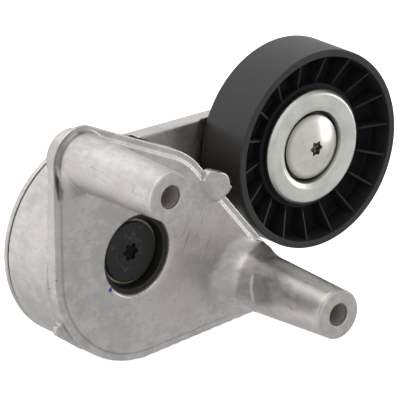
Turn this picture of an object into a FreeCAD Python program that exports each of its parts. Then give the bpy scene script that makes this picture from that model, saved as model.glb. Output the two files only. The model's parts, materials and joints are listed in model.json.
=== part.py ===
import FreeCAD, Part
import Sketcher
import math
import os
from FreeCAD import Placement, Rotation, Vector

# Automatic belt tensioner: a cast base with a spring drum and two long standoffs,
# a swing arm that closes the drum, and a ribbed idler pulley on the arm's end.
# X is right, Y runs from the seating face towards the drum, Z is up.
# The origin is the centre of the upper mounting bore, on its seating face.

DIMENSIONS = {
    # mounting standoffs
    "lower_bore_x": 78.3,
    "lower_bore_z": -63.9,
    "bore_r": 4.25,
    "bore_chamfer": 0.6,
    "tip_chamfer": 0.6,
    "upper_tip_r": 8.9,
    "upper_root_r": 10.3,
    "lower_tip_r": 9.2,
    "lower_root_r": 10.9,
    "upper_boss_r": 9.85,
    "lower_boss_r": 10.8,
    "boss_back": 57.8,
    "upper_flare": 0.3,
    "upper_reach": 1.0,
    "lower_flare": 2.6,
    "lower_reach": 13.0,
    "standoff_seat": 1.0,
    "scoop_r": 12.0,
    # flange plate
    "plate_front": 49.2,
    "ledge_front": 49.9,
    "plate_back": 55.6,
    "rim_back": 51.6,
    "lobe_r": 12.4,
    "back_lobe_r": 10.4,
    "corner_x": 78.9,
    "corner_z": -65.0,
    "corner_r": 13.6,
    "shoulder_x": 30.1,
    "shoulder_z": -35.3,
    "shoulder_r": 32.0,
    "flange_x": 28.0,
    "flange_z": -43.0,
    "flange_r": 39.8,
    "ledge_width": 2.9,
    "plate_edge_round": 0.5,
    "hole_edge_round": 2.0,
    "gate_depth": 2.6,
    "lug_x": 62.4,
    "lug_z": -24.5,
    "lug_r": 5.4,
    "lug_front": 48.1,
    "lug_back": 52.2,
    "lug_step": 0.5,
    # drum and pivot
    "pivot_x": 25.7,
    "pivot_z": -42.4,
    "drum_r": 38.0,
    "drum_inner_r": 34.2,
    "drum_back": 76.8,
    "hole_r": 14.8,
    "hole_floor": 57.2,
    "tube_r": 17.5,
    "tube_bore_r": 11.5,
    "tube_back": 70.0,
    "shaft_r": 9.0,
    "shaft_front": 56.0,
    "shaft_back": 80.9,
    "web_depth": 7.0,
    "stop_width": 3.0,
    "stop_length": 6.0,
    "stop_sweep": 8.4,
    "seal_margin": 0.4,
    "seat_clearance": 2.3,
    "guide_wall": 1.9,
    "cup_wall": 1.4,
    "cup_front": 51.3,
    "cup_bevel": 0.6,
    "overlap": 1.0,
    "running_gap": 0.05,
    "face_gap": 0.1,
    # swing arm
    "hub_front": 77.4,
    "arm_front": 72.3,
    "arm_back": 79.7,
    "arm_root_r": 34.3,
    "arm_end_r": 14.0,
    "arm_sweep_r": 39.0,
    "arm_edge_round": 0.7,
    "pulley_relief": 2.2,
    "hub_thickening": 1.5,
    "hub_recess": 1.2,
    "shoe_front": 71.0,
    "hub_recess_r": 29.8,
    "hub_rib_inner_r": 14.0,
    "hub_rib_outer_r": 31.0,
    "hub_rib_half": 1.1,
    "hub_rib_depth": 1.4,
    "hub_rib_count": 6,
    "beam_pocket_depth": 2.8,
    "arm_boss_r": 11.0,
    "arm_boss_front": 68.9,
    "hex_chamfer": 0.8,
    "tongue_start": 257.0,
    "tongue_sweep": 14.0,
    "shoe_start": 558.0,
    "shoe_sweep": 256.0,
    "hub_boss_r": 16.0,
    "hub_boss_front": 70.6,
    "hub_ring_r": 15.0,
    "hub_ring_back": 81.2,
    "hex_r": 9.2,
    "hex_back": 86.2,
    "hex_bore_margin": 3.0,
    # pivot shaft and its bolt
    "pivot_thread_r": 4.05,
    "pivot_bolt_r": 4.0,
    "pivot_head_r": 11.4,
    "pivot_head_front": 53.9,
    "pivot_washer_r": 12.2,
    "pivot_washer_front": 55.0,
    "pivot_drive_depth": 2.6,
    "blind_depth": 18.0,
    "bolt_reach": 14.5,
    "tip_taper": 0.8,
    # idler pulley
    "pulley_x": 111.8,
    "pulley_z": -22.1,
    "pulley_front": 49.6,
    "pulley_back": 71.8,
    "pulley_r": 38.0,
    "rim_wall": 2.7,
    "web_front": 59.3,
    "web_back": 62.3,
    "pulley_hub_r": 24.2,
    "pulley_hub_front": 55.3,
    "pulley_hub_back": 69.3,
    "rib_thickness": 0.9,
    "rib_rim_step": 1.0,
    "rib_hub_step": 5.9,
    "rib_count": 18,
    "first_rib": 3.0,
    "rib_rear_step": 2.6,
    "rib_root": 0.3,
    "rim_chamfer": 0.4,
    "mould_draft": 0.4,
    "insert_step": 0.3,
    "insert_lip": 0.8,
    "insert_r": 21.2,
    "bearing_r": 20.0,
    "bearing_bore_r": 8.5,
    "bearing_front": 56.3,
    "bearing_back": 68.3,
    "ball_r": 3.37,
    "ball_pitch_r": 14.25,
    "ball_count": 8,
    "race_land": 2.95,
    "race_chamfer": 0.6,
    "inner_chamfer": 0.4,
    "seal_step": 0.4,
    "seal_thickness": 0.8,
    "seal_clearance": 0.15,
    "cage_half_wall": 1.05,
    "cage_half_width": 4.2,
    "window_clearance": 0.13,
    "thread_r": 5.0,
    "shield_r": 22.0,
    "shield_front": 51.9,
    "shield_sheet": 0.8,
    "rear_shield_r": 21.4,
    "rear_shield_rise": 1.3,
    "rear_shield_sheet": 0.6,
    "sleeve_clearance": 0.1,
    "bolt_head_r": 12.35,
    "bolt_head_front": 50.5,
    "crown_edge": 0.45,
    "crown_rise": 2.8,
    "shank_clearance": 0.05,
    "shank_back": 82.0,
    "torx_r": 2.8,
    "torx_depth": 3.0,
    # torsion spring
    "spring_r": 26.0,
    "wire_r": 2.5,
    "spring_pitch": 5.3,
    "spring_front": 57.2,
    "spring_back": 75.4,
}


class Size:
    """A length from the sheet, kept with the expression that gives it."""

    def __init__(self, value, text):
        self.value = value
        self.text = text

    def joined(self, sign, other, value):
        return Size(value, "({} {} {})".format(self.text, sign, text_of(other)))

    def __add__(self, other):
        return self.joined("+", other, self.value + value_of(other))

    def __sub__(self, other):
        return self.joined("-", other, self.value - value_of(other))

    def __mul__(self, other):
        return self.joined("*", other, self.value * value_of(other))

    def __neg__(self):
        return Size(-self.value, "(-{})".format(self.text))


def value_of(size):
    return size.value if isinstance(size, Size) else float(size)


def text_of(size):
    return size.text if isinstance(size, Size) else "({})".format(size)


doc = FreeCAD.newDocument("belt_tensioner")
sheet = doc.addObject("Spreadsheet::Sheet", "Dimensions")
for row, (alias, number) in enumerate(DIMENSIONS.items(), start=1):
    sheet.set("A{}".format(row), alias)
    sheet.set("B{}".format(row), str(number))
    sheet.setAlias("B{}".format(row), alias)
doc.recompute()


class Sheet:
    """Gives each alias as an attribute."""

    def __getattr__(self, alias):
        return Size(float(DIMENSIONS[alias]), "Dimensions." + alias)


d = Sheet()
nodes = []


# ---------------------------------------------------------------- sketch helpers

def bind(item, prop, size):
    item.setExpression(prop, text_of(size))


def new_body(name, x=None, z=None):
    """A body whose own Y axis runs through (x, z)."""
    body = doc.addObject("PartDesign::Body", name)
    body.Label = name
    if x is not None:
        body.Placement = Placement(Vector(value_of(x), 0, value_of(z)), Rotation())
        bind(body, "Placement.Base.x", x)
        bind(body, "Placement.Base.z", z)
    nodes.append(body)
    return body


def new_sketch(body, role):
    sketch = body.newObject("Sketcher::SketchObject", body.Name + "_sketch")
    plane = [feature for feature in body.Origin.OriginFeatures if feature.Role == role][0]
    sketch.AttachmentSupport = [(plane, "")]
    sketch.MapMode = "FlatFace"
    return sketch


def face_sketch(body, depth):
    """A sketch across the Y axis at this depth: its x is X, its y is Z."""
    sketch = new_sketch(body, "XZ_Plane")
    sketch.AttachmentOffset = Placement(Vector(0, 0, -value_of(depth)), Rotation())
    bind(sketch, "AttachmentOffset.Base.z", -depth)
    return sketch


def place_coordinate(sketch, kind, geometry, point, size):
    """Fixes one coordinate of a point, measured from the sketch's origin."""
    amount = value_of(size)
    if abs(amount) < 1e-9:
        axis = -2 if kind == "DistanceX" else -1
        sketch.addConstraint(Sketcher.Constraint("PointOnObject", geometry, point, axis))
        return
    if amount > 0:
        rule = Sketcher.Constraint(kind, -1, 1, geometry, point, amount)
        text = text_of(size)
    else:
        rule = Sketcher.Constraint(kind, geometry, point, -1, 1, -amount)
        text = "-" + text_of(size)
    index = sketch.addConstraint(rule)
    if isinstance(size, Size):
        sketch.setExpression("Constraints[{}]".format(index), text)


def place_point(sketch, geometry, point, x, y):
    place_coordinate(sketch, "DistanceX", geometry, point, x)
    place_coordinate(sketch, "DistanceY", geometry, point, y)


def fix_radius(sketch, geometry, radius):
    index = sketch.addConstraint(Sketcher.Constraint("Radius", geometry, value_of(radius)))
    if isinstance(radius, Size):
        sketch.setExpression("Constraints[{}]".format(index), text_of(radius))


def add_circle(sketch, x, y, radius):
    centre = Vector(value_of(x), value_of(y), 0)
    geometry = sketch.addGeometry(Part.Circle(centre, Vector(0, 0, 1), value_of(radius)))
    place_point(sketch, geometry, 3, x, y)
    fix_radius(sketch, geometry, radius)


def bulged(begin, end, radius):
    """An arc from begin to end that bulges to the right of the way, or left if radius < 0."""
    along = end - begin
    half = along.Length / 2
    along.normalize()
    right = Vector(along.y, -along.x, 0)
    height = abs(radius) - math.sqrt(radius ** 2 - half ** 2)
    middle = (begin + end) * 0.5 + right * math.copysign(height, radius)
    return Part.Arc(begin, middle, end)


def add_polygon(sketch, points, arcs=None):
    """A closed outline. The side that starts at a point named in arcs is an arc."""
    arcs = arcs or {}
    corners = [Vector(value_of(x), value_of(y), 0) for x, y in points]
    count = len(corners)
    ends = []
    for index in range(count):
        begin = corners[index]
        end = corners[(index + 1) % count]
        if index in arcs:
            side = sketch.addGeometry(bulged(begin, end, arcs[index]))
            fix_radius(sketch, side, abs(arcs[index]))
            swapped = sketch.getPoint(side, 1).distanceToPoint(begin) > 1e-6
        else:
            side = sketch.addGeometry(Part.LineSegment(begin, end))
            swapped = False
        ends.append((side, 2, 1) if swapped else (side, 1, 2))
    for index in range(count):
        side, first, last = ends[index]
        following, its_first, its_last = ends[(index + 1) % count]
        sketch.addConstraint(Sketcher.Constraint("Coincident", side, last, following, its_first))
    for (side, first, last), (x, y) in zip(ends, points):
        place_point(sketch, side, first, x, y)


def add_belt_outline(sketch, circles):
    """A closed outline of arcs joined by outer tangent lines, counterclockwise."""
    count = len(circles)
    centres = [Vector(value_of(x), value_of(y), 0) for x, y, radius in circles]
    radii = [value_of(radius) for x, y, radius in circles]
    normals = []
    for index in range(count):
        after = (index + 1) % count
        along = centres[after] - centres[index]
        slope = (radii[index] - radii[after]) / along.Length
        along.normalize()
        outward = Vector(along.y, -along.x, 0)
        normals.append(along * slope + outward * math.sqrt(1 - slope ** 2))
    arcs = []
    for index in range(count):
        begin = math.atan2(normals[index - 1].y, normals[index - 1].x)
        end = math.atan2(normals[index].y, normals[index].x)
        if end <= begin:
            end += 2 * math.pi
        circle = Part.Circle(centres[index], Vector(0, 0, 1), radii[index])
        arcs.append(sketch.addGeometry(Part.ArcOfCircle(circle, begin, end)))
    for index, (x, y, radius) in enumerate(circles):
        place_point(sketch, arcs[index], 3, x, y)
        fix_radius(sketch, arcs[index], radius)
    for index in range(count):
        after = (index + 1) % count
        begin = centres[index] + normals[index] * radii[index]
        end = centres[after] + normals[index] * radii[after]
        line = sketch.addGeometry(Part.LineSegment(begin, end))
        sketch.addConstraint(Sketcher.Constraint("Tangent", line, 1, arcs[index], 2))
        sketch.addConstraint(Sketcher.Constraint("Tangent", line, 2, arcs[after], 1))


# --------------------------------------------------------------- feature helpers

def pad(body, front, back, draw, *arguments):
    """Adds material from depth front to depth back, in the shape that draw sketches."""
    sketch = face_sketch(body, back)
    draw(sketch, *arguments)
    feature = body.newObject("PartDesign::Pad", body.Name + "_pad")
    feature.Profile = sketch
    bind(feature, "Length", back - front)
    body.Tip = feature
    return feature


def pocket(body, front, back, draw, *arguments):
    """Removes material from depth front to depth back."""
    sketch = face_sketch(body, front)
    draw(sketch, *arguments)
    feature = body.newObject("PartDesign::Pocket", body.Name + "_pocket")
    feature.Profile = sketch
    bind(feature, "Length", back - front)
    body.Tip = feature
    return feature


def add_ring(sketch, x, y, outer, inner):
    add_circle(sketch, x, y, outer)
    add_circle(sketch, x, y, inner)


def turned(body, points, x=None, z=None, sweep=360.0, start=0.0, arcs=None):
    """Turns a profile of (radius, depth) points about an axis along Y."""
    sketch = new_sketch(body, "XY_Plane")
    base = Vector(0, 0, 0)
    if x is not None:
        base = Vector(value_of(x), 0, value_of(z))
    sketch.AttachmentOffset = Placement(base, Rotation(Vector(0, 1, 0), -start))
    if isinstance(x, Size):
        bind(sketch, "AttachmentOffset.Base.x", x)
        bind(sketch, "AttachmentOffset.Base.z", z)
    add_polygon(sketch, points, arcs)
    feature = body.newObject("PartDesign::Revolution", body.Name + "_turned")
    feature.Profile = sketch
    feature.ReferenceAxis = (sketch, ["V_Axis"])
    feature.Angle = sweep
    body.Tip = feature
    return feature


def round_edges(body, radius, wanted, kind="Fillet"):
    """Fillets or chamfers the edges of the body for which wanted(edge) is true."""
    doc.recompute()
    base = body.Tip
    names = []
    for number, edge in enumerate(base.Shape.Edges, start=1):
        if wanted(edge):
            names.append("Edge{}".format(number))
    if not names:
        raise RuntimeError("no edge to round on " + body.Label)
    feature = body.newObject("PartDesign::" + kind, body.Name + "_" + kind.lower())
    feature.Base = (base, names)
    bind(feature, "Radius" if kind == "Fillet" else "Size", radius)
    body.Tip = feature
    doc.recompute()
    if "Invalid" in feature.State or not feature.Shape.isValid():
        raise RuntimeError("rounding failed on " + body.Label)


def edge_depth(edge):
    """The edge's depth when it lies in one plane across Y, or None."""
    box = edge.BoundBox
    return box.YMin if box.YLength < 1e-4 else None


def lies_at(edge, depth):
    found = edge_depth(edge)
    return found is not None and abs(found - value_of(depth)) < 1e-3


def is_round(edge, radius):
    return isinstance(edge.Curve, Part.Circle) and abs(edge.Curve.Radius - value_of(radius)) < 1e-3


STAR_RATIO = 0.72


def star_points(outer, inner, lobes=6):
    """A rounded-off six-lobed drive, as the corners of a star."""
    points = []
    for index in range(2 * lobes):
        angle = math.pi * index / lobes + math.pi / (2 * lobes)
        radius = outer if index % 2 == 0 else inner
        points.append((radius * math.cos(angle), radius * math.sin(angle)))
    return points


# ------------------------------------------------------------------ base housing

def plate_outline(sketch, inset, lobe_r=d.lobe_r):
    add_belt_outline(sketch, [
        (d.flange_x, d.flange_z, d.flange_r - inset),
        (d.corner_x, d.corner_z, d.corner_r - inset),
        (d.shoulder_x, d.shoulder_z, d.shoulder_r - inset),
        (0, 0, lobe_r - inset),
    ])


def make_standoff(name, x, z, tip_r, root_r, boss_r, flare, reach):
    """A bored tube from the seating face through the plate, flared over reach where it meets it."""
    body = new_body(name, x, z)
    throat = d.plate_front - reach
    sweep_r = (reach.value ** 2 + flare.value ** 2) / (2 * flare.value)
    seat_back = d.ledge_front + d.standoff_seat
    turned(body, [
        (d.bore_r, 0),
        (tip_r - d.tip_chamfer, 0),
        (tip_r, d.tip_chamfer),
        (root_r, throat),
        (root_r + flare, d.plate_front),
        (root_r + flare, seat_back),
        (boss_r, seat_back),
        (boss_r, d.boss_back - d.bore_chamfer),
        (boss_r - d.bore_chamfer, d.boss_back),
        (d.bore_r + d.bore_chamfer, d.boss_back),
        (d.bore_r, d.boss_back - d.bore_chamfer),
    ], arcs={3: -sweep_r})
    return body


def cut_standoff_seat(body, x, z, boss_r, seat_r):
    front = d.plate_front - d.overlap
    pocket(body, front, d.ledge_front + d.standoff_seat, add_circle, x, z, seat_r)
    pocket(body, front, d.boss_back + d.overlap, add_circle, x, z, boss_r)


# outlines across Y as (x, z) corners
LUG_OUTLINE = [
    (58.8, -17.9), (61.4, -18.2), (64.8, -20.9), (69.2, -26.2), (67.4, -28.6), (60, -30), (55, -22),
]
GATE_OUTLINE = [(-9.2, -62.6), (-8.9, -65.9), (2.2, -73.9), (10, -72), (2, -58)]
UPPER_WEB = [(-3, -1), (3, 1), (9.5, -11), (1, -18)]
LOWER_WEBS = [
    [(60, -50.7), (60, -53.7), (73, -62.5), (73, -59.5)],
    [(55, -63), (55, -66), (73, -67.5), (73, -64.5)],
]
STOP_STARTS = (242.4, 299.0)
SCOOP_CENTRE = Vector(-18.4, 34.5, 10.1)


def make_plate(body):
    pad(body, d.ledge_front, d.rim_back, plate_outline, 0)
    pad(body, d.rim_back - d.overlap * 0.5, d.plate_back, plate_outline, 0, d.back_lobe_r)
    pad(body, d.plate_front, d.plate_back, plate_outline, d.ledge_width)
    round_edges(body, d.plate_edge_round, lambda edge: lies_at(edge, d.plate_front))
    # lug on the upper right edge, with a round pad on its face
    pad(body, d.lug_front, d.lug_back, add_circle, d.lug_x, d.lug_z, d.lug_r)
    pad(body, d.lug_front + d.lug_step, d.lug_back, add_polygon, LUG_OUTLINE)
    # casting gate stub on the lower left edge
    pad(body, d.plate_back - d.gate_depth, d.plate_back, add_polygon, GATE_OUTLINE)


def make_drum(body):
    inside = d.plate_back - d.overlap
    pad(body, inside, d.drum_back, add_ring, d.pivot_x, d.pivot_z, d.drum_r, d.drum_inner_r)
    pad(body, inside, d.tube_back, add_circle, d.pivot_x, d.pivot_z, d.tube_r)
    pocket(body, d.plate_front - d.overlap, d.hole_floor, add_circle, d.pivot_x, d.pivot_z, d.hole_r)
    pocket(body, d.hole_floor - d.overlap, d.tube_back + d.overlap, add_circle,
           d.pivot_x, d.pivot_z, d.tube_bore_r)
    # webs behind the plate, from the drum to the two bosses
    pad(body, inside, d.boss_back - d.overlap, add_polygon, UPPER_WEB)
    for web in LOWER_WEBS:
        pad(body, inside, d.plate_back + d.web_depth, add_polygon, web)
    # two stop ribs inside the drum, either side of the arm's tongue
    for start in STOP_STARTS:
        turned(body, [
            (d.drum_inner_r - d.stop_width, d.drum_back - d.stop_length),
            (d.drum_inner_r + d.overlap, d.drum_back - d.stop_length),
            (d.drum_inner_r + d.overlap, d.drum_back - d.overlap * 0.5),
            (d.drum_inner_r - d.stop_width, d.drum_back - d.overlap * 0.5),
        ], d.pivot_x, d.pivot_z, d.stop_sweep.value, start)


def make_base_housing():
    body = new_body("base_housing")
    make_plate(body)
    make_drum(body)
    cut_standoff_seat(body, 0, 0, d.upper_boss_r, d.upper_root_r + d.upper_flare)
    cut_standoff_seat(body, d.lower_bore_x, d.lower_bore_z, d.lower_boss_r, d.lower_root_r + d.lower_flare)
    round_edges(body, d.hole_edge_round,
                lambda edge: lies_at(edge, d.plate_front) and is_round(edge, d.hole_r))


def make_standoffs():
    make_standoff("upper_standoff", 0, 0, d.upper_tip_r, d.upper_root_r, d.upper_boss_r,
                  d.upper_flare, d.upper_reach)
    lower = make_standoff("lower_standoff", d.lower_bore_x, d.lower_bore_z, d.lower_tip_r,
                          d.lower_root_r, d.lower_boss_r, d.lower_flare, d.lower_reach)
    # shallow cored scoop in the side of the root
    scoop = lower.newObject("PartDesign::SubtractiveSphere", "root_scoop")
    bind(scoop, "Radius", d.scoop_r)
    scoop.Placement = Placement(SCOOP_CENTRE, Rotation())
    lower.Tip = scoop


make_base_housing()
make_standoffs()


# --------------------------------------------------- pieces held in the base

def make_ring(name, inner, outer, front, back, x, z):
    body = new_body(name, x, z)
    turned(body, [(inner, front), (outer, front), (outer, back), (inner, back)])
    return body


def make_base_pieces():
    make_ring("seal_ring", d.drum_inner_r + d.seal_margin, d.drum_r - d.seal_margin,
              d.drum_back + d.running_gap, d.hub_front - d.running_gap, d.pivot_x, d.pivot_z)
    make_ring("pivot_bush", d.shaft_r + d.running_gap, d.tube_bore_r,
              d.hole_floor, d.tube_back, d.pivot_x, d.pivot_z)
    make_ring("thrust_washer", d.shaft_r + d.face_gap, d.hub_boss_r - d.face_gap * 2,
              d.tube_back, d.hub_boss_front - d.running_gap, d.pivot_x, d.pivot_z)
    make_ring("spring_seat", d.tube_r + d.seat_clearance, d.drum_inner_r - d.seal_margin,
              d.plate_back, d.spring_front - d.face_gap, d.pivot_x, d.pivot_z)
    make_ring("spring_guide", d.tube_r, d.tube_r + d.guide_wall,
              d.plate_back, d.tube_back - d.overlap * 0.6, d.pivot_x, d.pivot_z)
    # cup-shaped bush that lines the plate's hole
    cup = new_body("front_bush", d.pivot_x, d.pivot_z)
    cup_inner_r = d.hole_r - d.cup_wall
    turned(cup, [
        (d.shaft_r + d.running_gap, d.shaft_front + d.face_gap),
        (cup_inner_r, d.shaft_front + d.face_gap),
        (cup_inner_r, d.cup_front + d.cup_bevel),
        (cup_inner_r + d.cup_bevel, d.cup_front),
        (d.hole_r, d.cup_front),
        (d.hole_r, d.hole_floor),
        (d.shaft_r + d.running_gap, d.hole_floor),
    ])


def make_torsion_spring():
    body = new_body("torsion_spring", d.pivot_x, d.pivot_z)
    sketch = new_sketch(body, "XY_Plane")
    add_circle(sketch, d.spring_r, d.spring_front + d.wire_r, d.wire_r)
    coil = body.newObject("PartDesign::AdditiveHelix", "spring_coil")
    coil.Profile = sketch
    coil.ReferenceAxis = (sketch, ["V_Axis"])
    coil.Mode = 0
    bind(coil, "Pitch", d.spring_pitch)
    bind(coil, "Height", d.spring_back - d.spring_front - d.wire_r * 2)
    body.Tip = coil


make_base_pieces()
make_torsion_spring()


# --------------------------------------------------------------------- swing arm

def arm_outline(sketch):
    add_belt_outline(sketch, [
        (d.pivot_x, d.pivot_z, d.arm_root_r),
        (d.pulley_x, d.pulley_z, d.arm_end_r),
    ])


def hexagon(sketch, x, z, radius):
    corners = []
    for index in range(6):
        angle = math.radians(60 * index)
        corners.append((x + radius * math.cos(angle), z + radius * math.sin(angle)))
    add_polygon(sketch, corners)


# circles (x, z, radius) that the pocket in the beam's back runs round
BEAM_POCKET = [
    (d.pivot_x + 50, d.pivot_z + 11.6, d.arm_end_r - 5.2),
    (d.pulley_x - 19, d.pulley_z - 4.3, d.arm_end_r - 7),
]


def drum_sector(body, front, back, start, sweep):
    """A block that runs just inside the drum wall, clockwise from the start angle."""
    turned(body, [
        (d.drum_inner_r - d.stop_width, front),
        (d.drum_inner_r - d.face_gap, front),
        (d.drum_inner_r - d.face_gap, back),
        (d.drum_inner_r - d.stop_width, back),
    ], d.pivot_x, d.pivot_z, sweep.value, start.value)


def make_arm_hub(body):
    """The hub's thicker middle, its boss, the raised ring and the ribs across its back."""
    pad(body, d.hub_front - d.hub_thickening, d.arm_back - d.overlap, add_circle,
        d.pivot_x, d.pivot_z, d.hub_recess_r + d.overlap * 0.8)
    pad(body, d.hub_boss_front, d.arm_back, add_circle, d.pivot_x, d.pivot_z, d.hub_boss_r)
    pocket(body, d.arm_back - d.hub_recess, d.arm_back + d.overlap, add_ring, d.pivot_x, d.pivot_z,
           d.hub_recess_r, d.hub_ring_r)
    pad(body, d.arm_back - d.overlap, d.hub_ring_back, add_circle, d.pivot_x, d.pivot_z, d.hub_ring_r)
    rib = pad(body, d.arm_back - d.hub_rib_depth, d.arm_back, add_polygon, [
        (d.pivot_x + d.hub_rib_inner_r, d.pivot_z - d.hub_rib_half),
        (d.pivot_x + d.hub_rib_outer_r, d.pivot_z - d.hub_rib_half),
        (d.pivot_x + d.hub_rib_outer_r, d.pivot_z + d.hub_rib_half),
        (d.pivot_x + d.hub_rib_inner_r, d.pivot_z + d.hub_rib_half),
    ])
    centre = new_sketch(body, "XY_Plane")
    centre.AttachmentOffset = Placement(Vector(d.pivot_x.value, 0, d.pivot_z.value), Rotation())
    bind(centre, "AttachmentOffset.Base.x", d.pivot_x)
    bind(centre, "AttachmentOffset.Base.z", d.pivot_z)
    pattern = body.newObject("PartDesign::PolarPattern", "hub_rib_pattern")
    pattern.Originals = [rib]
    pattern.Axis = (centre, ["V_Axis"])
    pattern.Angle = 360
    pattern.Occurrences = int(d.hub_rib_count.value)
    body.Tip = pattern


def make_tensioner_arm():
    body = new_body("tensioner_arm")
    cut_front = d.arm_front - d.overlap
    pad(body, d.arm_front, d.arm_back, arm_outline)
    pocket(body, cut_front, d.hub_front, add_circle, d.pivot_x, d.pivot_z, d.arm_sweep_r)
    pocket(body, cut_front, d.arm_front + d.overlap, add_circle,
           d.pulley_x, d.pulley_z, d.pulley_r + d.pulley_relief)
    pad(body, d.hub_front, d.arm_back, add_circle, d.pivot_x, d.pivot_z, d.drum_r)
    round_edges(body, d.arm_edge_round, lambda edge: lies_at(edge, d.arm_back))
    make_arm_hub(body)
    # pocket in the beam's back
    pocket(body, d.arm_back - d.beam_pocket_depth, d.arm_back + d.overlap, add_belt_outline, BEAM_POCKET)
    # boss that carries the bearing, and the release hexagon behind it
    pad(body, d.arm_boss_front, d.arm_front + d.overlap * 2, add_circle,
        d.pulley_x, d.pulley_z, d.arm_boss_r)
    pad(body, d.arm_back - d.overlap, d.hex_back, hexagon, d.pulley_x, d.pulley_z, d.hex_r)
    round_edges(body, d.hex_chamfer, lambda edge: lies_at(edge, d.hex_back), "Chamfer")
    # tongue that runs between the two stop ribs
    drum_sector(body, d.shoe_front, d.hub_front + d.overlap * 0.5, d.tongue_start, d.tongue_sweep)
    pocket(body, d.hub_boss_front - d.overlap, d.hub_ring_back + d.overlap, add_circle,
           d.pivot_x, d.pivot_z, d.shaft_r)
    pocket(body, d.bearing_back - d.overlap, d.hex_back - d.hex_bore_margin, add_circle,
           d.pulley_x, d.pulley_z, d.thread_r)


def make_friction_shoe():
    body = new_body("friction_shoe")
    drum_sector(body, d.shoe_front, d.hub_front, d.shoe_start, d.shoe_sweep)


def cut_drive(body, front, depth):
    """A six-lobed drive recess in a bolt's head."""
    star = star_points(d.torx_r.value, d.torx_r.value * STAR_RATIO)
    pocket(body, front - d.overlap, front + depth, add_polygon, star)


def make_pivot_pieces():
    shaft = new_body("pivot_shaft", d.pivot_x, d.pivot_z)
    turned(shaft, [
        (d.pivot_thread_r, d.shaft_front),
        (d.shaft_r - d.bore_chamfer, d.shaft_front),
        (d.shaft_r, d.shaft_front + d.bore_chamfer),
        (d.shaft_r, d.shaft_back - d.bore_chamfer),
        (d.shaft_r - d.bore_chamfer, d.shaft_back),
        (0, d.shaft_back),
        (0, d.shaft_front + d.blind_depth),
        (d.pivot_thread_r, d.shaft_front + d.blind_depth - 2),
    ])
    make_ring("retaining_washer", d.pivot_thread_r, d.pivot_washer_r,
              d.pivot_washer_front, d.shaft_front, d.pivot_x, d.pivot_z)
    bolt = new_body("pivot_bolt", d.pivot_x, d.pivot_z)
    head_edge = 0.4
    turned(bolt, [
        (0, d.pivot_head_front),
        (d.pivot_head_r - head_edge, d.pivot_head_front),
        (d.pivot_head_r, d.pivot_head_front + head_edge),
        (d.pivot_head_r, d.pivot_washer_front),
        (d.pivot_bolt_r, d.pivot_washer_front),
        (d.pivot_bolt_r, d.shaft_front + d.bolt_reach - d.tip_taper),
        (d.pivot_bolt_r - d.tip_taper, d.shaft_front + d.bolt_reach),
        (0, d.shaft_front + d.bolt_reach),
    ])
    cut_drive(bolt, d.pivot_head_front, d.pivot_drive_depth)


make_tensioner_arm()
make_friction_shoe()
make_pivot_pieces()


# ------------------------------------------------------------- pulley and bearing

def make_pulley_body():
    body = new_body("pulley_body", d.pulley_x, d.pulley_z)
    rim_inner = d.pulley_r - d.rim_wall
    edge = d.rim_chamfer
    turned(body, [
        (d.pulley_r - edge, d.pulley_front),
        (d.pulley_r, d.pulley_front + edge),
        (d.pulley_r, d.pulley_back - edge),
        (d.pulley_r - edge, d.pulley_back),
        (rim_inner, d.pulley_back),
        (rim_inner - d.mould_draft, d.web_back),
        (d.pulley_hub_r, d.web_back),
        (d.pulley_hub_r - d.mould_draft, d.pulley_hub_back),
        (d.insert_r, d.pulley_hub_back),
        (d.insert_r, d.pulley_hub_front),
        (d.pulley_hub_r - d.mould_draft, d.pulley_hub_front),
        (d.pulley_hub_r, d.web_front),
        (rim_inner - d.mould_draft, d.web_front),
        (rim_inner, d.pulley_front + edge),
        (rim_inner + edge, d.pulley_front),
    ])
    ribs = [
        (d.pulley_front + d.rib_rim_step, d.pulley_front + d.rib_hub_step, d.web_front + d.rib_root),
        (d.pulley_back - d.rib_rim_step, d.pulley_back - d.rib_rear_step, d.web_back - d.rib_root),
    ]
    first_r = d.pulley_hub_r - d.rib_root * 2
    last_r = rim_inner + d.rib_root
    for rim_edge, hub_edge, web_edge in ribs:
        sketch = new_sketch(body, "XY_Plane")
        turn = Rotation(Vector(0, 1, 0), -d.first_rib.value)
        half = turn.multVec(Vector(0, 0, -d.rib_thickness.value / 2))
        sketch.AttachmentOffset = Placement(half, turn)
        corners = [(first_r, hub_edge), (last_r, rim_edge), (last_r, web_edge), (first_r, web_edge)]
        add_polygon(sketch, corners)
        rib = body.newObject("PartDesign::Pad", "rib")
        rib.Profile = sketch
        bind(rib, "Length", d.rib_thickness)
        pattern = body.newObject("PartDesign::PolarPattern", "rib_pattern")
        pattern.Originals = [rib]
        axis = [feature for feature in body.Origin.OriginFeatures if feature.Role == "Y_Axis"][0]
        pattern.Axis = (axis, [""])
        pattern.Angle = 360
        pattern.Occurrences = int(d.rib_count.value)
        body.Tip = pattern


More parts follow.
